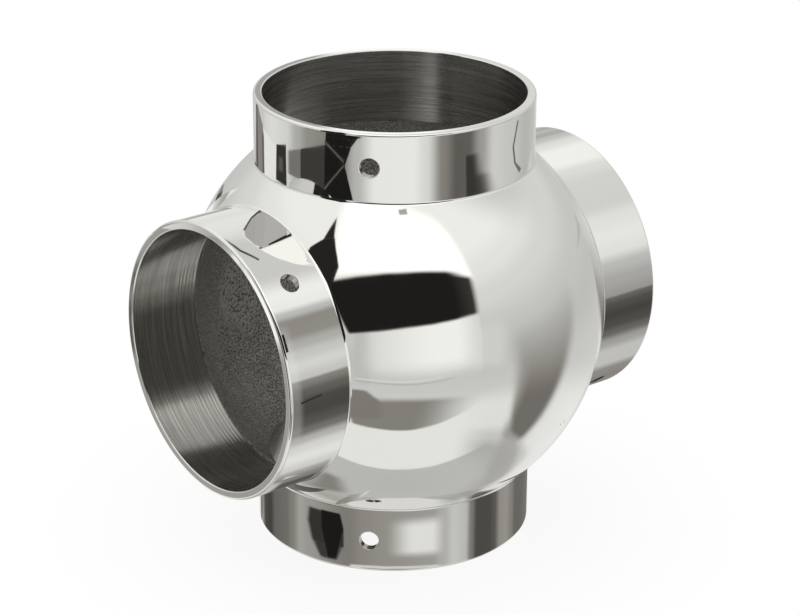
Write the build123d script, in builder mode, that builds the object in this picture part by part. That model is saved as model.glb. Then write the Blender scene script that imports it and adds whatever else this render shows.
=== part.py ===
from build123d import *
from math import cos, radians, sin, sqrt
import os

# Ball cross fitting for round tube: one hollow casting, its sockets turned and
# its outside polished. Four sockets lie in one plane, 90 degrees apart, and a
# tube end slides into each. Millimetres, +Z up, origin at the ball's centre.
# The sockets open along -X, +X, +Z and -Z, and it stands on the -Z rim.

# Driving dimensions
TUBE_DIA = 50.8
TUBE_CLEARANCE = 0.1
COLLAR_WALL = 1.75
COLLAR_LENGTH = 13.5
BALL_LAND = 2.2
BALL_WALL = 2.5
TUBE_STOP = 0.4
NECK_FILLET = 0.8
RIM_ROUND = 0.55
MOUTH_CHAMFER = 0.25
HOLE_DIA = 3.7
HOLE_FROM_RIM = 6.6
HOLE_LEAN = 48.0
HOLE_EDGE_BREAK = 0.2

# The socket is the tube with a clearance all round, and the collar is its wall.
bore_radius = TUBE_DIA / 2 + TUBE_CLEARANCE
collar_radius = bore_radius + COLLAR_WALL

# The ball reaches past two neighbouring collars where their edges would cross,
# so a strip of ball as wide as the land shows beside each one.
ball_radius = sqrt(2) * (collar_radius + BALL_LAND)
cavity_radius = ball_radius - BALL_WALL

# A collar leaves the ball at the neck and runs its own length to the rim.
neck_distance = sqrt(ball_radius**2 - collar_radius**2)
rim_distance = neck_distance + COLLAR_LENGTH

# The bore ends where the cast cavity has closed in to the stop that the tube meets.
stop_radius = bore_radius - TUBE_STOP
stop_distance = sqrt(cavity_radius**2 - stop_radius**2)
socket_depth = rim_distance - stop_distance

# Every side hole is on the front, -Y, and leans from it towards one neighbour.
lean_front = -cos(radians(HOLE_LEAN))
lean_side = sin(radians(HOLE_LEAN))

# Each socket: the way it opens, and the way its side hole faces.
SOCKETS = [
    ((-1, 0, 0), (0, lean_front, lean_side)),
    ((1, 0, 0), (0, lean_front, -lean_side)),
    ((0, 0, 1), (-lean_side, lean_front, 0)),
    ((0, 0, -1), (-lean_side, lean_front, 0)),
]


def socket_plane(opens, distance):
    """The plane square across a socket, at a distance from the ball's centre."""
    return Plane(origin=Vector(*opens) * distance, z_dir=Vector(*opens))


def hole_plane(opens, faces):
    """The plane that touches the collar where its side hole is drilled."""
    along = Vector(*opens) * (rim_distance - HOLE_FROM_RIM)
    return Plane(origin=along + Vector(*faces) * collar_radius, z_dir=Vector(*faces))


def circles_at(part, radius, distance):
    """The part's circular edges of one radius, centred at a distance from the ball's centre."""
    return part.edges().filter_by(
        lambda edge: edge.geom_type == GeomType.CIRCLE
        and abs(edge.radius - radius) < 0.001
        and abs(edge.arc_center.length - distance) < 0.001
    )


with BuildPart() as fitting_body:
    # Outer form: ball and collars, faired into each other
    Sphere(ball_radius)
    for opens, faces in SOCKETS:
        with BuildSketch(socket_plane(opens, 0)):
            Circle(collar_radius)
        extrude(amount=rim_distance)
    fillet(circles_at(fitting_body, collar_radius, neck_distance), radius=NECK_FILLET)
    fillet(circles_at(fitting_body, collar_radius, rim_distance), radius=RIM_ROUND)

    # Cast cavity inside the ball
    Sphere(cavity_radius, mode=Mode.SUBTRACT)

    # Turned sockets, each down to its stop, with a lead-in at the mouth
    for opens, faces in SOCKETS:
        with BuildSketch(socket_plane(opens, stop_distance)):
            Circle(bore_radius)
        extrude(amount=socket_depth, mode=Mode.SUBTRACT)
    chamfer(circles_at(fitting_body, bore_radius, rim_distance), length=MOUTH_CHAMFER)

    # Side holes, through one wall only
    for opens, faces in SOCKETS:
        with Locations(hole_plane(opens, faces)):
            CounterSinkHole(
                radius=HOLE_DIA / 2,
                counter_sink_radius=HOLE_DIA / 2 + HOLE_EDGE_BREAK,
                depth=2 * COLLAR_WALL,
                counter_sink_angle=90,
            )

os.makedirs("parts", exist_ok=True)
fitting_body.part.label = "fitting_body"
export_step(fitting_body.part, "parts/fitting_body.step")
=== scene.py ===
from math import asin, atan2, cos, pi, radians, sin, sqrt

import bpy
from mathutils import Matrix, Vector, noise
from mathutils.geometry import delaunay_2d_cdt


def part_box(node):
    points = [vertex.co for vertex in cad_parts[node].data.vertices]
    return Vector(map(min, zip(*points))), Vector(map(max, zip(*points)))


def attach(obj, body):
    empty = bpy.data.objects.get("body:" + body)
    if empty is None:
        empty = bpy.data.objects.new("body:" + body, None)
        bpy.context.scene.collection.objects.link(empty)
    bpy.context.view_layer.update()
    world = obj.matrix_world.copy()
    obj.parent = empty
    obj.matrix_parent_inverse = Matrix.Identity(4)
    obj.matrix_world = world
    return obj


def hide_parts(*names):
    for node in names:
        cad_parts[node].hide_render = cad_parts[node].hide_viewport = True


# Ball cross fitting: a hollow polished ball with four turned tube sockets.
# Metres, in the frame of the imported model: origin at the ball's centre, sockets
# open along -X, +X, +Z and -Z, and the fitting stands on its lower rim.

NODE = "fitting_body"
MM_PER_METRE = 1000

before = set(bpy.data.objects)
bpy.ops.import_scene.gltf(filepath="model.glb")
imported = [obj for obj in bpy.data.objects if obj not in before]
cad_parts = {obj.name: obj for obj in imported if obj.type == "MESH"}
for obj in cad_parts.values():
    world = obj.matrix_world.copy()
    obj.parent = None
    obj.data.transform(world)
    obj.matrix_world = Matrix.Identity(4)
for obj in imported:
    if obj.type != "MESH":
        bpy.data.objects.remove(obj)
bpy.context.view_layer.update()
far_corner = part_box(NODE)[1]

# Driving sizes. The rim and the ball come from the frame.
RIM_DISTANCE = far_corner.x
BALL_RADIUS = far_corner.y
BALL_LAND = 0.0022
BALL_WALL = 0.0025
COLLAR_WALL = 0.00175
TUBE_STOP = 0.0004
NECK_FILLET = 0.0008
RIM_ROUND = 0.00055
MOUTH_ROUND = 0.00025
HOLE_RADIUS = 0.00185
HOLE_FROM_RIM = 0.0066
HOLE_LEAN = 48
HOLE_EDGE = 0.0002
HOLE_INNER_EDGE = 0.00012

COLLAR_RADIUS = BALL_RADIUS / sqrt(2) - BALL_LAND
BORE_RADIUS = COLLAR_RADIUS - COLLAR_WALL
CAVITY_RADIUS = BALL_RADIUS - BALL_WALL
STOP_RADIUS = BORE_RADIUS - TUBE_STOP
STOP_DISTANCE = sqrt(CAVITY_RADIUS**2 - STOP_RADIUS**2)
HOLE_DISTANCE = RIM_DISTANCE - HOLE_FROM_RIM

# Mesh density: columns round a socket, and rows along each stretch of its profile
COLUMN_DEGREES = 2
COLUMNS = 360 // COLUMN_DEGREES
BALL_ROWS = 16
NECK_ROWS = 8
RIM_ROWS = 6
MOUTH_ROWS = 4

# The square round a side hole: cells from its middle to its side, points on its border,
# the height of a cell, rings between the square and the hole, and rows beside the square
HOLE_CELLS = 4
HOLE_POINTS = 8 * HOLE_CELLS
HOLE_CELL = 0.00085
HOLE_BLENDS = 2
HOLE_EDGE_ROWS = 4
ROWS_BESIDE_HOLE = 2

# Tool grooves near the bottom of each bore
GROOVE_PITCH = 0.0008
GROOVE_DEPTH = 0.000018
GROOVE_ROWS = 5

# Cast wall of the cavity: point spacing, least gap to a stop in spacings, lumps and grain
CAST_SPACING = 0.00066
CAST_GAP = 0.7
CAST_LUMP_SIZE = 0.0032
CAST_LUMP_HEIGHT = 0.00014
CAST_GRAIN_SIZE = 0.0013
CAST_GRAIN_HEIGHT = 0.00005
CAST_GRAIN_SHIFT = Vector((7, 3, 5))
CAST_TOLERANCE = 1e-9
NO_STOP = -1

POLISHED, TURNED_ACROSS, TURNED_UPRIGHT, DRILLED, CAST = range(5)


class Socket:
    """One socket's own axes: the way it opens, the front, and the side its hole leans to."""

    def __init__(self, opens, side):
        self.axis = Vector(opens)
        self.front = Vector((0, -1, 0))
        self.side = Vector(side)
        self.bore = TURNED_ACROSS if opens[0] else TURNED_UPRIGHT

    def round(self, angle):
        return self.front * cos(angle) + self.side * sin(angle)

    def place(self, along, radius, angle):
        return self.axis * along + self.round(angle) * radius


SOCKETS = [
    Socket((-1, 0, 0), (0, 0, 1)),
    Socket((1, 0, 0), (0, 0, -1)),
    Socket((0, 0, 1), (-1, 0, 0)),
    Socket((0, 0, -1), (-1, 0, 0)),
]
LEFT, RIGHT, TOP, BOTTOM = SOCKETS


class Skin:
    """Gathers the faces of one closed mesh, with a normal for every corner."""

    MERGE = 1e7

    def __init__(self):
        self.points = []
        self.known = {}
        self.faces = []
        self.normals = []
        self.materials = []

    def point(self, place):
        key = tuple(round(value * self.MERGE) for value in place)
        if key not in self.known:
            self.known[key] = len(self.points)
            self.points.append(tuple(place))
        return self.known[key]

    def face(self, corners, material):
        """Adds a face from (place, normal) pairs, wound so that it faces along its normals."""
        places = [place for place, normal in corners]
        across = (places[1] - places[0]).cross(places[2] - places[0])
        if len(places) == 4:
            across += (places[2] - places[0]).cross(places[3] - places[0])
        if across.dot(sum((normal for place, normal in corners), Vector())) < 0:
            corners = corners[::-1]
        self.faces.append([self.point(place) for place, normal in corners])
        self.normals.extend(tuple(normal.normalized()) for place, normal in corners)
        self.materials.append(material)

    def strip(self, ring, following, material):
        """Joins two rings of (place, normal) pairs, point by point."""
        for i in range(len(ring)):
            j = (i + 1) % len(ring)
            self.face([ring[i], ring[j], following[j], following[i]], material)


def turned_ring(socket, along, radius, tilt):
    """A ring round a socket. Its normal tilts from outward, at 0, to the socket's own way."""
    ring = []
    for column in range(COLUMNS):
        angle = radians(column * COLUMN_DEGREES)
        normal = socket.round(angle) * cos(tilt) + socket.axis * sin(tilt)
        ring.append((socket.place(along, radius, angle), normal))
    return ring


def rounding(along, radius, size, start, end, rows):
    """Profile of a round edge about a centre, or of a fillet where its size is negative."""
    profile = []
    for row in range(rows + 1):
        tilt = start + (end - start) * row / rows
        profile.append((along + size * sin(tilt), radius + size * cos(tilt), tilt))
    return profile


def neck_profile():
    """Concave fillet from the ball to the collar."""
    centre_radius = COLLAR_RADIUS + NECK_FILLET
    centre_along = sqrt((BALL_RADIUS + NECK_FILLET) ** 2 - centre_radius**2)
    start = atan2(centre_along, centre_radius)
    return rounding(centre_along, centre_radius, -NECK_FILLET, start, 0, NECK_ROWS)


def collar_profile():
    """Outside of the collar, with even rows where the side hole is."""
    start = neck_profile()[-1][0]
    end = RIM_DISTANCE - RIM_ROUND
    return [(along, COLLAR_RADIUS, 0) for along in rows_round_hole(start, end)]


def rows_round_hole(start, end):
    """Distances from start to end, with the side hole's own rows among them."""
    beside = ROWS_BESIDE_HOLE
    lowest = HOLE_DISTANCE - HOLE_CELLS * HOLE_CELL
    rows = [start + (lowest - start) * row / beside for row in range(beside)]
    rows += [lowest + HOLE_CELL * row for row in range(2 * HOLE_CELLS)]
    highest = HOLE_DISTANCE + HOLE_CELLS * HOLE_CELL
    rows += [highest + (end - highest) * row / beside for row in range(beside + 1)]
    return rows


def rim_profile():
    """Rounded outer edge, flat rim and rounded mouth."""
    outer = RIM_DISTANCE - RIM_ROUND, COLLAR_RADIUS - RIM_ROUND, RIM_ROUND
    mouth = RIM_DISTANCE - MOUTH_ROUND, BORE_RADIUS + MOUTH_ROUND, MOUTH_ROUND
    return rounding(*outer, 0, pi / 2, RIM_ROWS) + rounding(*mouth, pi / 2, pi, MOUTH_ROWS)


def bore_profile():
    """Bore from the mouth down to the grooves that the boring tool left above the stop."""
    lowest = HOLE_DISTANCE - HOLE_CELLS * HOLE_CELL
    grooves = int((lowest - STOP_DISTANCE) / GROOVE_PITCH)
    groove_top = STOP_DISTANCE + grooves * GROOVE_PITCH
    rows = rows_round_hole(groove_top, RIM_DISTANCE - MOUTH_ROUND)
    profile = [(along, BORE_RADIUS, pi) for along in reversed(rows)]
    for row in range(1, grooves * GROOVE_ROWS + 1):
        along = groove_top - GROOVE_PITCH * row / GROOVE_ROWS
        phase = 2 * pi * row / GROOVE_ROWS
        radius = BORE_RADIUS - GROOVE_DEPTH * (1 - cos(phase)) / 2
        slope = GROOVE_DEPTH * pi / GROOVE_PITCH * sin(phase)
        profile.append((along, radius, pi - slope))
    return profile


def stop_profile():
    """The small ledge that the tube's end meets."""
    return [(STOP_DISTANCE, BORE_RADIUS, pi / 2), (STOP_DISTANCE, STOP_RADIUS, pi / 2)]


def near_hole(column, along):
    """Whether the cell that starts at this column and ends by this row is the side hole's."""
    columns = abs(column + 0.5 - HOLE_LEAN / COLUMN_DEGREES) < HOLE_CELLS
    return columns and abs(along - HOLE_DISTANCE) < HOLE_CELLS * HOLE_CELL


def turn(skin, socket, profile, material, drilled=False):
    """Turns a profile of (along, radius, tilt) round a socket, leaving the hole's cells open."""
    rings = [turned_ring(socket, *row) for row in profile]
    for row, (ring, following) in enumerate(zip(rings, rings[1:])):
        middle = (profile[row][0] + profile[row + 1][0]) / 2
        for i in range(COLUMNS):
            if drilled and near_hole(i, middle):
                continue
            j = (i + 1) % COLUMNS
            skin.face([ring[i], ring[j], following[j], following[i]], material)


def ball_patch(skin, socket):
    """The quarter of the ball round one socket, from its neck to the diagonals."""
    start = atan2(neck_profile()[0][1], neck_profile()[0][0])
    rings = [[] for row in range(BALL_ROWS + 1)]
    for column in range(COLUMNS):
        angle = radians(column * COLUMN_DEGREES)
        end = atan2(1, abs(sin(angle)))
        for row in range(BALL_ROWS + 1):
            reach = start + (end - start) * row / BALL_ROWS
            normal = socket.axis * cos(reach) + socket.round(angle) * sin(reach)
            rings[row].append((normal * BALL_RADIUS, normal))
    for row in range(BALL_ROWS):
        skin.strip(rings[row], rings[row + 1], POLISHED)


def square_step(index):
    """Steps (across, along) of a point on the side hole's square border."""
    side = 2 * HOLE_CELLS
    index = (index + HOLE_CELLS) % HOLE_POINTS
    run = index % side - HOLE_CELLS
    if index < side:
        return HOLE_CELLS, run
    if index < 2 * side:
        return -run, HOLE_CELLS
    if index < 3 * side:
        return -HOLE_CELLS, -run
    return run, -HOLE_CELLS


def wall_rings(socket, wall_radius, edge_radius, facing):
    """Rings on the collar's wall, from the square border in to the edge of the side hole."""
    rings = []
    lean = radians(HOLE_LEAN)
    for blend in range(HOLE_BLENDS + 2):
        share = blend / (HOLE_BLENDS + 1)
        ring = []
        for index in range(HOLE_POINTS):
            across, along = square_step(index)
            around = 2 * pi * index / HOLE_POINTS
            square_angle = radians(across * COLUMN_DEGREES)
            circle_angle = asin(edge_radius * cos(around) / wall_radius)
            angle = lean + square_angle * (1 - share) + circle_angle * share
            rise = along * HOLE_CELL * (1 - share) + edge_radius * sin(around) * share
            place = socket.place(HOLE_DISTANCE + rise, wall_radius, angle)
            ring.append((place, socket.round(angle) * facing))
        rings.append(ring)
    return rings


def drilled_ring(socket, wall_radius, depth, radius, tilt):
    """A ring inside the side hole. Its normal tilts from inward, at 0, to the hole's way out."""
    lean = radians(HOLE_LEAN)
    outward = socket.round(lean)
    sideways = socket.round(lean + pi / 2)
    ring = []
    for index in range(HOLE_POINTS):
        around = 2 * pi * index / HOLE_POINTS
        across = radius * cos(around)
        rise = radius * sin(around)
        height = sqrt(wall_radius**2 - across**2) - depth
        place = socket.axis * (HOLE_DISTANCE + rise) + sideways * across + outward * height
        from_middle = sideways * cos(around) + socket.axis * sin(around)
        ring.append((place, outward * sin(tilt) - from_middle * cos(tilt)))
    return ring


def meet(ring, other):
    """The ring with its own normals at the other ring's places, so that the two join."""
    places = [place for place, normal in other]
    normals = [normal for place, normal in ring]
    return list(zip(places, normals))


def hole_edge(socket, wall_radius, edge, side):
    """Rings of the side hole's rounded edge, at the collar's wall, side 1, or the bore's, side -1."""
    rings = []
    for row in range(HOLE_EDGE_ROWS + 1):
        tilt = pi / 2 * (max(side, 0) - row / HOLE_EDGE_ROWS)
        radius = HOLE_RADIUS + edge * (1 - cos(tilt))
        depth = side * edge * (1 - side * sin(tilt))
        rings.append(drilled_ring(socket, wall_radius, depth, radius, tilt))
    return rings


def side_hole(skin, socket):
    """One drilled hole through the collar's wall, its edges lightly broken."""
    mouth = hole_edge(socket, COLLAR_RADIUS, HOLE_EDGE, 1)
    foot = hole_edge(socket, BORE_RADIUS, HOLE_INNER_EDGE, -1)
    outer = wall_rings(socket, COLLAR_RADIUS, HOLE_RADIUS + HOLE_EDGE, 1)
    outer[-1] = meet(outer[-1], mouth[0])
    inner = wall_rings(socket, BORE_RADIUS, HOLE_RADIUS + HOLE_INNER_EDGE, -1)
    inner[-1] = meet(inner[-1], foot[-1])
    stretches = [(outer, POLISHED), (mouth, POLISHED), (foot, DRILLED), (inner, socket.bore)]
    for rings, material in stretches:
        for ring, following in zip(rings, rings[1:]):
            skin.strip(ring, following, material)
    skin.strip(mouth[-1], foot[0], DRILLED)


def cast_point(direction):
    """A point of the cast wall, with the lumps and grain that the mould left."""
    lump = noise.noise(direction * (CAVITY_RADIUS / CAST_LUMP_SIZE))
    grain = noise.noise(direction * (CAVITY_RADIUS / CAST_GRAIN_SIZE) + CAST_GRAIN_SHIFT)
    return direction * (CAVITY_RADIUS + CAST_LUMP_HEIGHT * lump + CAST_GRAIN_HEIGHT * grain)


def spread_directions():
    """Even directions all round, on a golden spiral."""
    count = int(4 * pi * CAVITY_RADIUS**2 / (CAST_SPACING**2 * sqrt(3) / 2))
    golden = pi * (3 - sqrt(5))
    for index in range(count):
        height = 1 - (2 * index + 1) / count
        width = sqrt(1 - height**2)
        yield Vector((width * cos(index * golden), width * sin(index * golden), height))


def cavity_points():
    """Points of the cast wall, and for each the number of the stop that it lies on, if any."""
    stop_cosine = cos(atan2(STOP_RADIUS, STOP_DISTANCE) + CAST_GAP * CAST_SPACING / CAVITY_RADIUS)
    places = []
    stops = []
    for number, socket in enumerate(SOCKETS):
        for place, normal in turned_ring(socket, STOP_DISTANCE, STOP_RADIUS, 0):
            places.append(place)
            stops.append(number)
    for direction in spread_directions():
        if all(direction.dot(socket.axis) < stop_cosine for socket in SOCKETS):
            places.append(cast_point(direction))
            stops.append(NO_STOP)
    return places, stops


def cavity_triangles(places, stops):
    """Even triangles between the points, except across the open stops.

    The points are laid flat as seen from the top of the cavity, which is open.
    """
    flat = []
    for place in places:
        direction = place.normalized()
        flat.append(Vector((direction.x, direction.y)) / (1 - direction.z))
    borders = []
    for number in range(len(SOCKETS)):
        first = number * COLUMNS
        borders += [(first + i, first + (i + 1) % COLUMNS) for i in range(COLUMNS)]
    found = delaunay_2d_cdt(flat, borders, [], 0, CAST_TOLERANCE)
    triangles, origins = found[2], found[3]
    kept = []
    for triangle in triangles:
        corners = [origins[corner][0] for corner in triangle]
        numbers = {stops[corner] for corner in corners}
        if len(numbers) > 1 or NO_STOP in numbers:
            kept.append(corners)
    return kept


def inward_normals(places, triangles):
    """A normal for every point, from the triangles round it, that looks into the cavity."""
    normals = [Vector() for place in places]
    for a, b, c in triangles:
        across = (places[b] - places[a]).cross(places[c] - places[a])
        if across.dot(places[a]) > 0:
            across.negate()
        for corner in (a, b, c):
            normals[corner] += across
    return normals


def cavity(skin):
    """The cast wall between the four stops, as an even triangle mesh."""
    places, stops = cavity_points()
    triangles = cavity_triangles(places, stops)
    normals = inward_normals(places, triangles)
    for corners in triangles:
        skin.face([(places[corner], normals[corner]) for corner in corners], CAST)


def add_object(name, data):
    """A new object in the scene."""
    added = bpy.data.objects.new(name, data)
    bpy.context.collection.objects.link(added)
    return added


def fitting(materials):
    """The whole fitting as one closed mesh."""
    skin = Skin()
    for socket in SOCKETS:
        ball_patch(skin, socket)
        turn(skin, socket, neck_profile(), POLISHED)
        turn(skin, socket, collar_profile(), POLISHED, drilled=True)
        turn(skin, socket, rim_profile(), POLISHED)
        turn(skin, socket, bore_profile(), socket.bore, drilled=True)
        turn(skin, socket, stop_profile(), CAST)
        side_hole(skin, socket)
    cavity(skin)

    mesh = bpy.data.meshes.new("fitting")
    mesh.from_pydata(skin.points, [], skin.faces)
    for material in materials:
        mesh.materials.append(material)
    mesh.polygons.foreach_set("material_index", skin.materials)
    mesh.polygons.foreach_set("use_smooth", [True] * len(skin.faces))
    mesh.normals_split_custom_set(skin.normals)
    mesh.update()
    return add_object("fitting", mesh)


class Nodes:
    """Short ways to add and join shader nodes."""

    def __init__(self, tree):
        self.tree = tree
        tree.nodes.clear()

    def add(self, kind, **settings):
        node = self.tree.nodes.new(kind)
        for name, value in settings.items():
            setattr(node, name, value)
        return node

    def join(self, source, target):
        self.tree.links.new(source, target)

    def feed(self, sockets, values):
        """Sets each socket to its number or joins it to its source."""
        for socket, value in zip(sockets, values):
            if isinstance(value, bpy.types.NodeSocket):
                self.join(value, socket)
            else:
                socket.default_value = value

    def show(self, shader, kind="ShaderNodeOutputMaterial"):
        """Joins a shader to an output of its own."""
        output = self.add(kind)
        self.join(shader.outputs[0], output.inputs["Surface"])

    def math(self, operation, *values):
        node = self.add("ShaderNodeMath", operation=operation)
        self.feed(node.inputs, values)
        return node.outputs[0]

    def split(self, vector):
        """A vector's parts, which are found by their names."""
        node = self.add("ShaderNodeSeparateXYZ")
        self.join(vector, node.inputs[0])
        return node.outputs

    def measure(self, operation, vector, fixed=(0, 0, 0)):
        """The number that a vector gives, by itself or with a fixed one."""
        node = self.add("ShaderNodeVectorMath", operation=operation)
        self.join(vector, node.inputs[0])
        node.inputs[1].default_value = fixed
        return node.outputs["Value"]

    def spread(self, value, low, high, to_low=0.0, to_high=1.0):
        """Smoothly maps low..high to to_low..to_high."""
        node = self.add("ShaderNodeMapRange", interpolation_type="SMOOTHSTEP")
        self.feed(node.inputs, (value, low, high, to_low, to_high))
        return node.outputs[0]

    def mix(self, share, first, second):
        node = self.add("ShaderNodeMix", data_type="FLOAT")
        self.feed(node.inputs[:1] + node.inputs[2:4], (share, first, second))
        return node.outputs[0]

    def noise(self, vector, scale, detail, shift=None):
        """Even noise, or with a shift noise that changes with that number as well."""
        node = self.add("ShaderNodeTexNoise", noise_dimensions="3D" if shift is None else "4D")
        self.join(vector, node.inputs["Vector"])
        node.inputs["Scale"].default_value = scale
        node.inputs["Detail"].default_value = detail
        if shift is not None:
            self.join(shift, node.inputs["W"])
        return node.outputs["Fac"]

    def bump(self, height, distance, under=None):
        node = self.add("ShaderNodeBump")
        node.inputs["Strength"].default_value = 1.0
        node.inputs["Distance"].default_value = distance
        self.join(height, node.inputs["Height"])
        if under is not None:
            self.join(under, node.inputs["Normal"])
        return node.outputs["Normal"]

    def mix_shaders(self, share, first, second):
        node = self.add("ShaderNodeMixShader")
        self.join(share, node.inputs[0])
        self.join(first.outputs[0], node.inputs[1])
        self.join(second.outputs[0], node.inputs[2])
        return node

    def blend_colours(self, share, first, second):
        node = self.add("ShaderNodeMix", data_type="RGBA")
        self.feed(node.inputs[:1] + node.inputs[6:8], (share, (*first, 1), (*second, 1)))
        return node.outputs[2]


def new_material(name):
    """A material with an empty tree, and its node helper."""
    material = bpy.data.materials.new(name)
    material.use_nodes = True
    return material, Nodes(material.node_tree)


def new_metal(name):
    """A material with its node helper and the object coordinates."""
    material, nodes = new_material(name)
    return material, nodes, nodes.add("ShaderNodeTexCoord").outputs["Object"]


def metal(nodes, colour, roughness, normal):
    """The metal shader, shown with these looks."""
    shader = nodes.add("ShaderNodeBsdfPrincipled")
    shader.inputs["Metallic"].default_value = 1.0
    nodes.join(colour, shader.inputs["Base Color"])
    nodes.join(roughness, shader.inputs["Roughness"])
    nodes.join(normal, shader.inputs["Normal"])
    nodes.show(shader)
    return shader.inputs


# Where most of a noise lies
NOISE_RANGE = 0.3, 0.7

# Polished outside: clouds in its colour, haze, long waves and fine buffing marks
POLISH_COLOUR = (0.86, 0.855, 0.835)
POLISH_SHADE = (0.845, 0.84, 0.82)
CLOUD_SCALE = 60.0
HAZE_SCALE = 220.0
HAZE_RANGE = 0.3, 0.75
POLISH_ROUGHNESS = 0.02, 0.055
WAVE_SCALE = 55.0
WAVE_HEIGHT = 0.00008
BUFF_SCALE = 240.0
BUFF_HEIGHT = 0.000006


def polished_steel():
    """Mirror polish, with the slight waves and haze that a hand-buffed casting keeps."""
    material, nodes, place = new_metal("polished_steel")
    clouds = nodes.noise(place, CLOUD_SCALE, detail=3.0)
    colour = nodes.blend_colours(clouds, POLISH_SHADE, POLISH_COLOUR)
    haze = nodes.noise(place, HAZE_SCALE, detail=4.0)
    roughness = nodes.spread(haze, *HAZE_RANGE, *POLISH_ROUGHNESS)
    waves = nodes.bump(nodes.noise(place, WAVE_SCALE, detail=1.0), WAVE_HEIGHT)
    marks = nodes.bump(nodes.noise(place, BUFF_SCALE, detail=1.0), BUFF_HEIGHT, under=waves)
    metal(nodes, colour, roughness, marks)
    return material


# Turned bores: fine rings, broad streaks and a few thin lines of painted glint, each with the scale
# of its noise round the socket and how much faster it changes along it
# Bore colours are painted shade: darker than the polished steel, and darker again in the upright bores than
# in those across
ACROSS_PAINTED_SHADE_COLOUR = (0.72, 0.697, 0.657)
ACROSS_PAINTED_SHADE_DARK = (0.36, 0.35, 0.33)
UPRIGHT_PAINTED_SHADE_COLOUR = (0.50, 0.485, 0.459)
UPRIGHT_PAINTED_SHADE_DARK = (0.29, 0.28, 0.265)
RING_SCALE = 10.0
RING_SQUEEZE = 450.0
RING_HEIGHT = 0.000008
RING_ROUGHNESS = 0.09
STREAK_SCALE = 90.0
STREAK_SQUEEZE = 45.0
STREAK_HEIGHT = 0.000011
STREAK_SHARE = 0.6
GLINT_LINE_SCALE = 25.0
GLINT_LINE_SQUEEZE = 160.0
GLINT_LINE_RANGE = 0.6, 0.68
GLINT_LINE_SHARE = 0.4
QUARTER_TURN = 0.25


def turned_steel(name, axis, shade, colour, smoothest, brushed):
    """Bored surface: fine rings round the socket's axis, streaked as the tool chattered, in colours darkened
    with painted shade.
    """
    material, nodes, place = new_metal(name)
    along = nodes.split(place)[axis]
    rings = nodes.noise(place, RING_SCALE, 4.0, nodes.math("MULTIPLY", along, RING_SQUEEZE))
    streaks = nodes.noise(place, STREAK_SCALE, 3.0, nodes.math("MULTIPLY", along, STREAK_SQUEEZE))
    # Thin lines of painted glint: the colour is brightened along them to stand in for highlights on the
    # rings
    lines = nodes.noise(place, GLINT_LINE_SCALE, 1.0, nodes.math("MULTIPLY", along, GLINT_LINE_SQUEEZE))
    broad = nodes.math("MULTIPLY", nodes.spread(streaks, *NOISE_RANGE), STREAK_SHARE)
    # The share of painted glint added to the colour
    bright = nodes.math("MULTIPLY", nodes.spread(lines, *GLINT_LINE_RANGE), GLINT_LINE_SHARE)
    blend = nodes.blend_colours(nodes.math("ADD", broad, bright), shade, colour)
    roughness = nodes.spread(rings, *NOISE_RANGE, smoothest, smoothest + RING_ROUGHNESS)
    chatter = nodes.bump(streaks, STREAK_HEIGHT)
    marks = nodes.bump(rings, RING_HEIGHT, under=chatter)
    inputs = metal(nodes, blend, roughness, marks)
    inputs["Anisotropic"].default_value = brushed
    inputs["Anisotropic Rotation"].default_value = QUARTER_TURN
    tangent = nodes.add("ShaderNodeTangent", direction_type="RADIAL", axis=axis)
    nodes.join(tangent.outputs[0], inputs["Tangent"])
    return material


DRILL_COLOUR = (0.54, 0.525, 0.50)
DRILL_SHADE = (0.45, 0.438, 0.417)
DRILL_SCALE = 700.0
DRILL_HEIGHT = 0.000004
DRILL_ROUGHNESS = 0.12, 0.2


def drilled_steel():
    """Wall of a drilled hole, a little rough."""
    material, nodes, place = new_metal("drilled_wall")
    scratches = nodes.noise(place, DRILL_SCALE, detail=2.0)
    colour = nodes.blend_colours(scratches, DRILL_SHADE, DRILL_COLOUR)
    roughness = nodes.spread(scratches, *NOISE_RANGE, *DRILL_ROUGHNESS)
    metal(nodes, colour, roughness, nodes.bump(scratches, DRILL_HEIGHT))
    return material


# Cast wall: its grain, and the contrast, depth and roughness outside and inside its patches
CAST_COLOUR = (0.57, 0.55, 0.516)
CAST_SHADE = (0.17, 0.164, 0.153)
CAST_MIDDLE = 0.5
CAST_SCALE = 2800.0
CAST_RANGE = 0.39, 0.61
CAST_HEIGHT = 0.0003
PATCH_SCALE = 110.0
PATCH_RANGE = 0.4, 0.65
PATCH_CONTRAST = 0.6, 1.0
PATCH_DEPTH = 0.8, 1.3
PATCH_ROUGHNESS = 0.4, 0.3

# The coarsest spot of the wall, paler and more contrasty than the rest: where it is, where it starts and is
# full, and its pits
SPOT = (-0.0115, 0.0369, -0.0058)
SPOT_REACH = 0.0098, 0.0045
SPOT_DEPTH = 2.0
PIT_SCALE = 1900.0
PIT_RANGE = 0.38, 0.54
PIT_LEVELS = 0.0, 1.35


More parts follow.
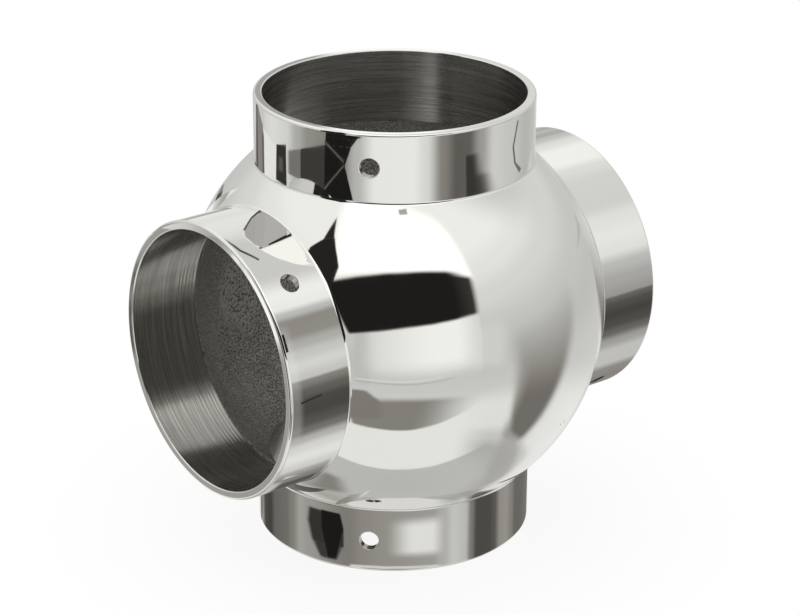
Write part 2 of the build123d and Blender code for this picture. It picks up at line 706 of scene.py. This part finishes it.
def cast_steel():
    """Raw cast wall, granular and dull, coarser in some patches, and pitted and paler in one spot."""
    material, nodes, place = new_metal("cast_wall")
    grain = nodes.noise(place, CAST_SCALE, detail=3.0)
    patches = nodes.spread(nodes.noise(place, PATCH_SCALE, detail=2.0), *PATCH_RANGE)
    contrast = nodes.mix(patches, *PATCH_CONTRAST)
    speckle = nodes.mix(contrast, CAST_MIDDLE, nodes.spread(grain, *CAST_RANGE))
    spot = nodes.spread(nodes.measure("DISTANCE", place, SPOT), *SPOT_REACH)
    pits = nodes.spread(nodes.noise(place, PIT_SCALE, detail=2.0), *PIT_RANGE, *PIT_LEVELS)
    colour = nodes.blend_colours(nodes.mix(spot, speckle, pits), CAST_SHADE, CAST_COLOUR)
    roughness = nodes.mix(patches, *PATCH_ROUGHNESS)
    depth = nodes.mix(spot, nodes.mix(patches, *PATCH_DEPTH), SPOT_DEPTH)
    bumps = nodes.bump(nodes.math("MULTIPLY", grain, depth), CAST_HEIGHT)
    metal(nodes, colour, roughness, bumps)
    return material


def heading(azimuth, elevation):
    """Unit direction: azimuth from -Y towards +X, elevation above the horizon, in degrees."""
    turn_angle, rise = radians(azimuth), radians(elevation)
    return Vector((sin(turn_angle) * cos(rise), -cos(turn_angle) * cos(rise), sin(rise)))


def box(left, right, first, last):
    """Corners of a card that is square to its two measures."""
    return [(left, first), (right, first), (right, last), (left, last)]


# What the polish throws back, and the tints of dim and of bright light
MIRROR = 0.855
WARM_TINT = (1.054, 1.0, 0.922)
PALE_TINT = (1.0, 1.0, 0.978)
DIM_TO_BRIGHT = 0.2, 0.55

# The curve from a display's level to light
WHITE_LEVEL = 255
CURVE_SHIFT = 0.055
CURVE_POWER = 2.4


def seen(level):
    """Light that the polished metal shows as this level of 0 to 255."""
    share = level / WHITE_LEVEL
    linear = ((share + CURVE_SHIFT) / (1 + CURVE_SHIFT)) ** CURVE_POWER
    return linear / MIRROR


def tinted(nodes, light):
    """Colour of a light: nearly neutral where it is bright, a little warmer where it is dim."""
    tint = nodes.blend_colours(nodes.spread(light, *DIM_TO_BRIGHT), WARM_TINT, PALE_TINT)
    node = nodes.add("ShaderNodeVectorMath", operation="SCALE")
    nodes.join(tint, node.inputs[0])
    nodes.feed([node.inputs["Scale"]], [light])
    return node.outputs[0]


class Studio(Nodes):
    """The light all round, built up from a plain gradient and flat cards."""

    def __init__(self, world):
        world.use_nodes = True
        super().__init__(world.node_tree)
        self.way = self.add("ShaderNodeTexCoord").outputs["Generated"]
        self.light = None

    def lay(self, mask, level):
        """Lays light of a level over the rest, as far as the mask says."""
        self.light = self.mix(mask, self.light, seen(level))

    def rise(self):
        """A direction's elevation, in radians."""
        return self.math("ARCSINE", self.split(self.way)["Z"])

    def gradient(self, stops):
        """Plain light by elevation, from (elevation, level) stops."""
        rise = self.rise()
        self.light = seen(stops[0][1])
        for (low, unused), (high, level) in zip(stops, stops[1:]):
            self.lay(self.spread(rise, radians(low), radians(high)), level)

    def edge(self, first, second, inside, soft):
        """1 on one side of the great circle through two directions, and 0 on the other."""
        across = heading(*first).cross(heading(*second)).normalized()
        if across.dot(inside) < 0:
            across.negate()
        width = sin(radians(soft))
        return self.spread(self.measure("DOT_PRODUCT", self.way, across), -width, width)

    def below(self, elevation, soft):
        """1 below an elevation and 0 above it."""
        return self.spread(self.rise(), radians(elevation + soft), radians(elevation - soft))

    def card(self, corners, level, soft=1.0, share=1.0):
        """A flat card with straight edges, each as soft as its number of degrees says."""
        softness = soft if isinstance(soft, list) else [soft] * len(corners)
        inside = sum((heading(*corner) for corner in corners), Vector())
        mask = share
        for index, corner in enumerate(corners):
            following = corners[(index + 1) % len(corners)]
            side = self.edge(corner, following, inside, softness[index])
            mask = self.math("MULTIPLY", mask, side)
        self.lay(mask, level)

    def disc(self, centre, radius, level, soft):
        """A round card, by its centre, its radius and the softness of its edge in degrees."""
        facing = self.measure("DOT_PRODUCT", self.way, heading(*centre))
        away = self.math("ARCCOSINE", facing)
        self.lay(self.spread(away, radians(radius - soft), radians(radius + soft), 1.0, 0.0), level)

    def finish(self):
        background = self.add("ShaderNodeBackground")
        self.join(tinted(self, self.light), background.inputs["Color"])
        self.show(background, "ShaderNodeOutputWorld")


# Plain light in the tent, as (elevation, level)
TENT = [(-90, 180), (-68, 183), (-57, 172), (-51, 196), (-45, 220), (-36, 222), (-24, 198)]
TENT += [(-10, 188), (2, 195), (20, 212), (32, 226), (45, 236), (90, 237)]


def studio():
    """A white tent with a broad light overhead, a dark screen round the camera and grey flags."""
    world = bpy.data.worlds.new("studio")
    bpy.context.scene.world = world
    room = Studio(world)
    room.gradient(TENT)
    overhead_lights(room)
    front_panel(room)
    dark_screen(room)
    ground_in_front(room)
    grey_flag_on_the_right(room)
    side_strips(room)
    room.finish()


def overhead_lights(room):
    """Broad white light overhead with a small grey square, and a soft round on the right."""
    room.disc((100, 50), 27, 200, soft=12)
    room.card([(-78, 33), (12, 29), (13, 62), (-22, 78), (-118, 68)], 262, soft=[2, 2, 4, 4, 4])
    room.card([(-31, 74.5), (-16, 74.5), (-18, 71.3), (-30, 71.6)], 165, soft=0.4)


def front_panel(room):
    """Pale panel in front, brightest in its middle, with grey margins over two thin lines."""
    room.card(box(-59, -51, 16, -20), 186, soft=[1, 1.5, 4, 2])
    room.card([(4, 7), (22, 5), (22, -16), (4, -14)], 205, soft=[4, 5, 4, 4])
    room.card([(-50.5, 16), (8.5, 16), (9, -14), (-50.5, -14)], 214, soft=[1, 0.8, 5, 7])
    room.card(box(-36, 2, 20, -11), 239, soft=[5, 7, 5, 23])
    room.card([(-58, -16.8), (-12, -16.5), (-12, -16.9), (-58, -17.4)], 216, soft=[0.25, 3, 0.25, 1])
    room.card([(-58, -17.7), (-5, -17.3), (-5, -17.9), (-58, -18.4)], 176, soft=[0.3, 4, 0.3, 1])


def dark_screen(room):
    """Dark screen round the camera, and a second one on its left, from spike to grey foot."""
    room.card([(-80, 29.4), (11, 30.2), (8.5, 12), (-62, 6)], 52, soft=[1.4, 2.2, 1.1, 1])
    room.card([(-80, 29), (3, 35), (2, 12), (-62, 6)], 28, soft=[1.4, 6, 1.1, 1])
    room.card([(-103, 59.5), (-90, 50.5), (-97, 47)], 38, soft=0.5)
    left_screen = [(-97, 47.6), (-90, 51), (-76, 38.5), (-77, -34), (-95, -34), (-102, 41)]
    room.card(left_screen, 34, soft=0.5)
    room.card([(-113, -8), (-94, -8), (-99, -34), (-115, -34)], 66, soft=1)


def ground_in_front(room):
    """Pale ground near the fitting, and the grey edge of the table beyond it."""
    ground = [(-100, -58), (-62, -36), (4, -37), (9, -38), (34, -62), (22, -70), (-10, -76.5)]
    ground.append((-62, -74.5))
    room.card(ground, 226, soft=[1, 2, 1, 9, 4, 1.5, 0.8, 0.8])
    table = [(-64, -15), (-5, -15), (-5, -41.5), (-28, -47.8), (-64, -43.7)]
    room.card(table, 127, soft=[1, 17, 0.9, 0.7, 1], share=room.below(-28.5, soft=2.2))
    corner = [(-66, -23), (-53, -23.5), (-45, -30), (-45, -40), (-66, -40)]
    room.card(corner, 121, soft=[0.8, 1.2, 3, 1, 1])


def grey_flag_on_the_right(room):
    """Grey flag that darkens downward, its left side soft, between a low band and a pale one."""
    low_band = [(40, -45), (70, -51), (112, -49.5), (116, -54), (78, -62), (48, -54)]
    room.card(low_band, 164, soft=[2, 2, 2, 2, 3, 4], share=0.85)
    flag = [(28, -6), (72, -6), (70, -51), (46, -51), (34, -36)]
    room.card(flag, 152, soft=[12, 5, 1.2, 3, 5], share=0.9)
    darker = [(36, -22), (67.5, -22), (69, -50), (50, -49), (38, -40)]
    room.card(darker, 108, soft=[13, 3.5, 1.2, 2, 6])
    room.card([(82, -34), (118, -29), (118, -41), (72, -50.5)], 227, soft=[4, 3, 1.4, 6], share=0.8)


def side_strips(room):
    """What only the rims and the ball's edge mirror: strips and patches at the sides and behind."""
    room.card(box(143.3, 152, 16, 19.5), 160, soft=0.4)
    room.card(box(140.7, 143.3, 15, 20), 250, soft=0.4)
    room.card(box(-153, -140, -17, -29), 152, soft=0.6)
    room.card([(-145.6, -21.2), (-143, -21.2), (-143, -23.4), (-145.2, -23.4)], 250, soft=0.3)
    room.card(box(-150, -147.3, -21.6, -23.4), 84, soft=0.3)
    room.card([(-185, -57), (-135, -68), (-135, -74), (-185, -70)], 128, soft=3)


CAMERA_AZIMUTH = -38.2615
CAMERA_ELEVATION = 22.5215
CAMERA_ROLL = 0.2606
CAMERA_DISTANCE = 0.53209
CAMERA_ASIDE = -0.00121
CAMERA_ABOVE = 0.000324
CAMERA_LENS = 120.75
CAMERA_FILM = 36


def camera():
    """The photograph's view: a long lens from the front left, looking down on the ball."""
    back = heading(CAMERA_AZIMUTH, CAMERA_ELEVATION)
    right = Vector((cos(radians(CAMERA_AZIMUTH)), sin(radians(CAMERA_AZIMUTH)), 0))
    up = back.cross(right)
    roll = radians(CAMERA_ROLL)
    right, up = right * cos(roll) + up * sin(roll), up * cos(roll) - right * sin(roll)
    data = bpy.data.cameras.new("camera")
    data.lens = CAMERA_LENS
    data.sensor_width = CAMERA_FILM
    eye = add_object("camera", data)
    place = back * CAMERA_DISTANCE - right * CAMERA_ASIDE - up * CAMERA_ABOVE
    eye.matrix_world = Matrix.Translation(place) @ Matrix((right, up, back)).transposed().to_4x4()
    bpy.context.scene.camera = eye
    return place


class Flags:
    """Small cards held near one collar, on a sheet that shows on the collar's side only.

    A flag is given by the four corners of its mirror image on the collar, each an angle round
    the collar in degrees, from the front towards +X or +Z, and a distance along it in mm.
    The sheet is flat and square to the collar's axis, a cone round it where it leans by less
    than 90 degrees, or a cylinder where it doesn't lean.
    """

    STEP = 0.0002
    REACH = 1.0
    HALVINGS = 40
    CELL = 2.0
    ROWS = 4
    ALONG = 31, 46

    def __init__(self, name, socket, eye, along, radius=0, lean=90):
        self.name = name
        self.axis = socket.axis
        self.eye = eye
        self.along = along
        self.radius = radius
        self.run = cos(radians(lean)), sin(radians(lean))
        self.count = 0

    def outward(self, angle):
        turn_angle = radians(angle)
        if self.axis.x:
            return Vector((0, -cos(turn_angle), sin(turn_angle)))
        return Vector((sin(turn_angle), -cos(turn_angle), 0))

    def mirrored(self, angle, along):
        """The place on the collar at this angle and distance."""
        return self.axis * (along / MM_PER_METRE) + self.outward(angle) * COLLAR_RADIUS

    def past(self, place):
        """How far a place lies past the sheet. Later flags hang a little nearer the collar."""
        along = place.dot(self.axis)
        radius = (place - self.axis * along).length
        ahead = (radius - self.radius) * self.run[0] - (along - self.along) * self.run[1]
        return ahead + self.count * self.STEP

    def hang(self, angle, along):
        """The place on the sheet whose mirror image is at this angle and distance."""
        normal = self.outward(angle)
        place = self.mirrored(angle, along)
        view = (self.eye - place).normalized()
        ray = 2 * normal.dot(view) * normal - view
        near, far = 0.0, self.REACH
        for halving in range(self.HALVINGS):
            middle = (near + far) / 2
            if self.past(place + ray * middle) < 0:
                near = middle
            else:
                far = middle
        return place + ray * far

    def wash(self, stops, soft=(0, 0, 0, 0)):
        """A flag all along the collar, its level running through (angle, level) stops."""
        first, last = stops[0][0], stops[-1][0]
        low, high = self.ALONG
        corners = box(first, last, low, high)
        shares = [((angle - first) / (last - first), level) for angle, level in stops]
        self.hang_sheet(corners, shares, soft, 1)

    def add(self, corners, level, soft=(0, 0, 0, 0), share=1.0):
        """A flag of one level. Soft is how much of it fades at its left, right, low and high side."""
        self.hang_sheet(corners, [(0, level)], soft, share)

    def chain(self, pairs, levels, soft=(0, 0, 0, 0)):
        """Flags one after another, each between two (left, right) pairs of corners."""
        for (left, right), (next_left, next_right), level in zip(pairs, pairs[1:], levels):
            self.add([left, right, next_right, next_left], level, soft)

    def hang_sheet(self, corners, stops, soft, share):
        self.count += 1
        mesh = self.sheet(corners)
        mesh.materials.append(flag_material(stops, soft, share))
        flag = add_object(f"{self.name}_{self.count:02d}", mesh)
        flag.visible_camera = False
        flag.visible_diffuse = False
        flag.visible_shadow = False
        flag.visible_transmission = False

    def sheet(self, corners):
        """A mesh of small cells between the corners, its front to the collar."""
        low_left, low_right, high_right, high_left = (Vector(corner) for corner in corners)
        columns = max(2, round(abs(low_right.x - low_left.x) / self.CELL))
        places = []
        for row in range(self.ROWS + 1):
            left = low_left.lerp(high_left, row / self.ROWS)
            right = low_right.lerp(high_right, row / self.ROWS)
            for column in range(columns + 1):
                places.append(self.hang(*left.lerp(right, column / columns)))
        faces = []
        spots = []
        for row in range(self.ROWS):
            for column in range(columns):
                first = row * (columns + 1) + column
                faces.append((first, first + 1, first + columns + 2, first + columns + 1))
                for aside, up in ((0, 0), (1, 0), (1, 1), (0, 1)):
                    spots += [(column + aside) / columns, (row + up) / self.ROWS]
        mesh = bpy.data.meshes.new(self.name)
        mesh.from_pydata(places, [], faces)
        mesh.uv_layers.new(name="spread").data.foreach_set("uv", spots)
        mirrored = self.mirrored(*low_left)
        if mesh.polygons[0].normal.dot(mirrored - places[0]) < 0:
            mesh.flip_normals()
        return mesh


def flag_material(stops, soft, share):
    """Card that the metal sees, from its front, at levels that run from left to right."""
    material, nodes = new_material("flag")
    spot = nodes.split(nodes.add("ShaderNodeTexCoord").outputs["UV"])
    mask = nodes.math("SUBTRACT", 1.0, nodes.add("ShaderNodeNewGeometry").outputs["Backfacing"])
    mask = nodes.math("MULTIPLY", mask, share)
    for part, (near, far) in (("X", soft[:2]), ("Y", soft[2:])):
        if near:
            mask = nodes.math("MULTIPLY", mask, nodes.spread(spot[part], 0.0, near))
        if far:
            mask = nodes.math("MULTIPLY", mask, nodes.spread(spot[part], 1.0, 1.0 - far))
    strength = seen(stops[0][1])
    for (start, unused), (end, level) in zip(stops, stops[1:]):
        strength = nodes.mix(nodes.spread(spot["X"], start, end), strength, seen(level))
    light = nodes.add("ShaderNodeEmission")
    nodes.join(tinted(nodes, strength), light.inputs["Color"])
    nodes.show(nodes.mix_shaders(mask, nodes.add("ShaderNodeBsdfTransparent"), light))
    return material


# Radius of a sheet so close to its collar that the ball's edge doesn't mirror it
CLOSE_RADIUS = 0.0282


def top_flags(eye):
    """What the top collar mirrors: a bright panel, a soft dark gap, and grey and black flags."""
    flags = Flags("top_flag", TOP, eye, along=0.017)
    flags.wash(
        [(-104, 205), (-95, 216), (-86, 208), (-80, 170), (-74, 140), (-66, 130), (-59, 120), (-53, 178)]
        + [(-45, 230), (-31, 231), (-26, 214), (-19, 126), (-13, 90), (-8, 92), (-2, 152), (5, 202)]
        + [(15, 194), (27, 178), (36, 184), (48, 214)],
        soft=(0.02, 0.04, 0, 0),
    )
    # Dark patch low in the gap
    flags.add([(-6, 31), (10, 31), (4, 36.6), (-6, 36.6)], 88, soft=(0, 0.8, 0, 0.3))
    flags.add([(-9.3, 31), (4.5, 31), (-2, 40.6), (-9.6, 40.6)], 54, soft=(0.1, 0.7, 0, 0.1))
    # Two grey patches, the darker one nearer the black
    flags.add([(-86, 34.6), (-77.6, 34), (-77.6, 40), (-86, 38.8)], 112, soft=(0.3, 0, 0, 0))
    flags.add([(-78, 33.8), (-66.5, 32.6), (-66, 41.9), (-78, 40)], 57)
    # Bright strip, and the dark patch with a paler middle beside it
    flags.add([(-104, 31), (-91, 31), (-91, 38.6), (-104, 41)], 224)
    flags.add([(-93, 32.2), (-85.8, 31.8), (-86, 39.9), (-92.3, 39.2)], 48)
    flags.add([(-92, 33.8), (-87, 33.8), (-87.4, 37.6), (-91.4, 37.6)], 84, soft=(0.4, 0.4, 0.3, 0.3))
    # Dark edge at the far left
    flags.add([(-117, 31), (-104.5, 31), (-103.5, 41), (-112, 46)], 128, soft=(0.1, 0.1, 0, 0))
    flags.add(box(-113.4, -110.5, 31, 45), 76, soft=(0.3, 0.3, 0, 0))
    flags.add(box(-105.6, -102.6, 31, 41), 90, soft=(0.3, 0.3, 0, 0.2))
    # Black flag with a pointed notch, and two thin lines across it
    black = [((-66.8, 31), (-54, 31)), ((-66.4, 38.6), (-57.6, 38.6)), ((-66, 42), (-55, 42))]
    black += [((-65.8, 43.6), (-52.6, 43.6)), ((-65.6, 45), (-46.5, 45))]
    flags.chain(black, [26, 26, 26, 26])
    flags.add([(-66.4, 42.3), (-66.4, 42.9), (-58, 39.6), (-58, 39.1)], 84)
    flags.add([(-66.6, 32.9), (-66.6, 33.5), (-58, 38.9), (-58, 38.4)], 84)
    # Curved dark line on the right
    curve = [((19, 43.6), (20.8, 43.6)), ((15.8, 39), (17.6, 39)), ((17.2, 35.5), (19.2, 35.5))]
    flags.chain(curve, [92, 92], soft=(0.4, 0.4, 0, 0))
    flags.add([(17.2, 35.5), (19.2, 35.5), (24, 33.6), (21.6, 32.8)], 104, soft=(0.3, 0.3, 0, 0))


def bottom_flags(eye):
    """What the bottom collar mirrors: a rounded black flag, a soft bright spot, a grey column."""
    flags = Flags("bottom_flag", BOTTOM, eye, along=0.031, radius=0.0345, lean=30)
    flags.wash(
        [(-118, 130), (-113, 150), (-108, 72), (-102, 66), (-97, 100), (-89, 107), (-85, 124), (-80, 158)]
        + [(-76, 150), (-57, 122), (-50, 135), (-42, 142), (-22, 152), (-17, 172), (-12, 193), (-7, 184)]
        + [(-4, 120), (-1, 73), (6, 74), (9, 86), (13, 140), (14, 142)],
        soft=(0.01, 0, 0, 0),
    )
    side = Flags("bottom_side_flag", BOTTOM, eye, along=0.031, radius=0.0345, lean=50)
    side.wash([(13, 140), (17, 145), (21, 128), (25, 101), (31, 101)])
    edge = Flags("bottom_edge_flag", BOTTOM, eye, along=0, radius=CLOSE_RADIUS, lean=0)
    edge.wash([(31, 101), (37, 108), (43, 116), (49, 136)])
    # Soft bright spot
    flags.add(box(-42, -15.5, 32.6, 42.4), 221, soft=(0.5, 0.25, 0.3, 0.22))
    # Rounded dark flag with a black core
    flags.add([(-76.5, 33.2), (-60, 33.2), (-58.5, 36.5), (-77.5, 36.5)], 50, soft=(0.15, 0.05, 0.2, 0))
    flags.add([(-77.5, 36.5), (-58.5, 36.5), (-58.5, 40.5), (-75, 40.5)], 50, soft=(0.15, 0.05, 0, 0))
    flags.add([(-75, 40.5), (-58.5, 40.5), (-61.5, 43.8), (-70, 43.8)], 56, soft=(0.2, 0.15, 0, 0.2))
    flags.add([(-69.5, 33.2), (-60.5, 33.2), (-58.8, 37), (-69.5, 37)], 26, soft=(0.1, 0.05, 0.1, 0))
    flags.add([(-69.5, 37), (-58.8, 37), (-62.5, 43.6), (-66, 43.6)], 26, soft=(0.1, 0.1, 0, 0.1))
    # Bright line beside the rim
    flags.add(box(-57, -17, 43.8, 44.5), 205, soft=(0.05, 0.1, 0.4, 0))


def left_flags(eye):
    """What the left collar mirrors: dark bands in front and underneath, a grey panel on top."""
    flags = Flags("left_flag", LEFT, eye, along=0.024)
    flags.wash(
        [(-62, 112), (-54, 106), (-48.5, 66), (-45.5, 122), (-40, 136), (-36.5, 160), (-33, 203), (-26, 224)]
        + [(-20, 210), (-16, 176), (-12, 113), (-8, 84), (-3, 70), (1, 72), (5, 94), (9.4, 128)]
        + [(10.8, 194), (16, 211), (20, 196), (24, 172), (28, 140), (33, 138), (36, 186), (39, 234)]
        + [(45, 240), (53, 226)],
        soft=(0.05, 0.1, 0, 0),
    )
    # Paler beside the rim
    flags.add([(-18, 41.4), (34, 42.4), (34, 46), (-18, 46)], 255, soft=(0.15, 0.1, 0.4, 0), share=0.13)
    # Thin dark line in the dark band, and the black fleck on the rim's rounding
    flags.add([(1.8, 38), (2.6, 38), (1.4, 42.8), (0.6, 42.8)], 48)
    flags.add(box(22.2, 29.2, 43.9, 46), 28)
    # Dark band underneath, paler beside the rim
    lower = Flags("left_lower_flag", LEFT, eye, along=0.0285)
    lower.wash(
        [(-72, 140), (-64, 112), (-57, 108), (-52, 90), (-47, 80), (-43, 124), (-39, 137)],
        soft=(0.1, 0.05, 0, 0),
    )
    lower.add(box(-72, -40, 41.4, 46), 185, soft=(0.2, 0.1, 0.5, 0))
    # Grey panel on top, with a dark outline on two sides
    upper = Flags("left_upper_flag", LEFT, eye, along=0.0285)
    upper.wash(
        [(83, 234), (95, 220), (102, 224), (103.6, 162), (105.2, 164), (108, 192), (112, 236), (118, 240)],
        soft=(0.2, 0, 0, 0),
    )
    panel = [((75, 40.3), (80.1, 38.9)), ((69.3, 40.1), (89.9, 32.9)), ((66.3, 39.1), (88.9, 30.9))]
    panel.append(((69.3, 32.6), (75.2, 31.2)))
    upper.chain(panel, [164, 168, 172])
    outline = [((79.6, 39.3), (78.8, 39.2)), ((86.9, 35.2), (85.8, 35.3)), ((90.7, 32.3), (89, 32.7))]
    outline.append(((89.3, 30.7), (88, 31.2)))
    upper.chain(outline, [80, 70, 70])
    upper.add([(67.6, 37.5), (66.8, 37.7), (68.8, 32.8), (70, 32.7)], 40)
    # Grey margin beside the neck
    upper.add([(67.5, 31.9), (58.9, 32), (58, 30.5), (63.2, 30.9)], 216)
    upper.add([(58.9, 32), (54.2, 32.6), (52.1, 30.8), (58, 30.5)], 214)
    # Curved line near the rim
    upper.add([(76.8, 44.9), (77.2, 44.5), (68.4, 43.5), (67.8, 44)], 80)
    upper.add([(68.4, 43.5), (67.8, 44), (61, 41.8), (61.6, 41.4)], 66)


def right_flags(eye):
    """What the right collar mirrors: a dark band in front, then grey and white panels."""
    flags = Flags("right_flag", RIGHT, eye, along=0.031, radius=0.031, lean=37)
    flags.wash(
        [(-40, 132), (-36, 138), (-30, 188), (-23, 190), (-17, 158), (-12, 100), (-8, 76), (-3, 67)]
        + [(1, 78), (4, 98), (5.5, 152), (12, 166), (18, 184), (24, 224), (30, 230), (37, 224)]
        + [(44, 207), (56, 209), (63, 220), (68, 240), (76, 240), (82, 222), (88, 190), (92, 168)]
        + [(97, 182), (102, 162), (112, 196)],
        soft=(0, 0.08, 0, 0),
    )
    edge = Flags("right_edge_flag", RIGHT, eye, along=0, radius=CLOSE_RADIUS, lean=0)
    edge.wash([(-60, 122), (-55, 126), (-50, 133), (-44, 128), (-40, 132)])


# Floor: half its side, its colour, and how white it looks from the fitting outward
FLOOR_HALF = 30.0
FLOOR_COLOUR = (0.9, 0.9, 0.9, 1)
FLOOR_NEAR = 0.03
FLOOR_FAR = 0.08
FLOOR_NEAR_WHITE = 0.9


def floor_material():
    """Pale ground, white to the eye and to glass, that still keeps the fitting's soft shadow."""
    material, nodes = new_material("pale_floor")
    ground = nodes.add("ShaderNodeBsdfDiffuse")
    ground.inputs["Color"].default_value = FLOOR_COLOUR
    white = nodes.add("ShaderNodeEmission")
    white.inputs["Color"].default_value = (1, 1, 1, 1)
    rays = nodes.add("ShaderNodeLightPath").outputs
    direct = nodes.math("MAXIMUM", rays["Is Camera Ray"], rays["Is Glossy Ray"])
    direct = nodes.math("MAXIMUM", direct, rays["Is Transmission Ray"])
    away = nodes.measure("LENGTH", nodes.add("ShaderNodeTexCoord").outputs["Object"])
    share = nodes.spread(away, FLOOR_NEAR, FLOOR_FAR, FLOOR_NEAR_WHITE, 1.0)
    nodes.show(nodes.mix_shaders(nodes.math("MULTIPLY", direct, share), ground, white))
    return material


def floor():
    """A wide pale floor under the lower rim. The metal sees the studio's own pale ground."""
    mesh = bpy.data.meshes.new("floor")
    corners = [(-1, -1, 0), (1, -1, 0), (1, 1, 0), (-1, 1, 0)]
    mesh.from_pydata([Vector(corner) * FLOOR_HALF for corner in corners], [], [(0, 1, 2, 3)])
    mesh.materials.append(floor_material())
    ground = add_object("floor", mesh)
    ground.location.z = -RIM_DISTANCE
    ground.visible_glossy = False


bpy.context.scene.view_settings.view_transform = "Standard"
eye = camera()
studio()
floor()
top_flags(eye)
bottom_flags(eye)
left_flags(eye)
right_flags(eye)
# The bores' colours hold painted shade, the upright ones darker than those across
across = turned_steel("turned_across_painted_shade", "X", ACROSS_PAINTED_SHADE_DARK, ACROSS_PAINTED_SHADE_COLOUR, smoothest=0.18, brushed=0.6)
upright = turned_steel("turned_upright_painted_shade", "Z", UPRIGHT_PAINTED_SHADE_DARK, UPRIGHT_PAINTED_SHADE_COLOUR, smoothest=0.24, brushed=0.85)
body = fitting([polished_steel(), across, upright, drilled_steel(), cast_steel()])
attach(body, "root")
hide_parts(NODE)
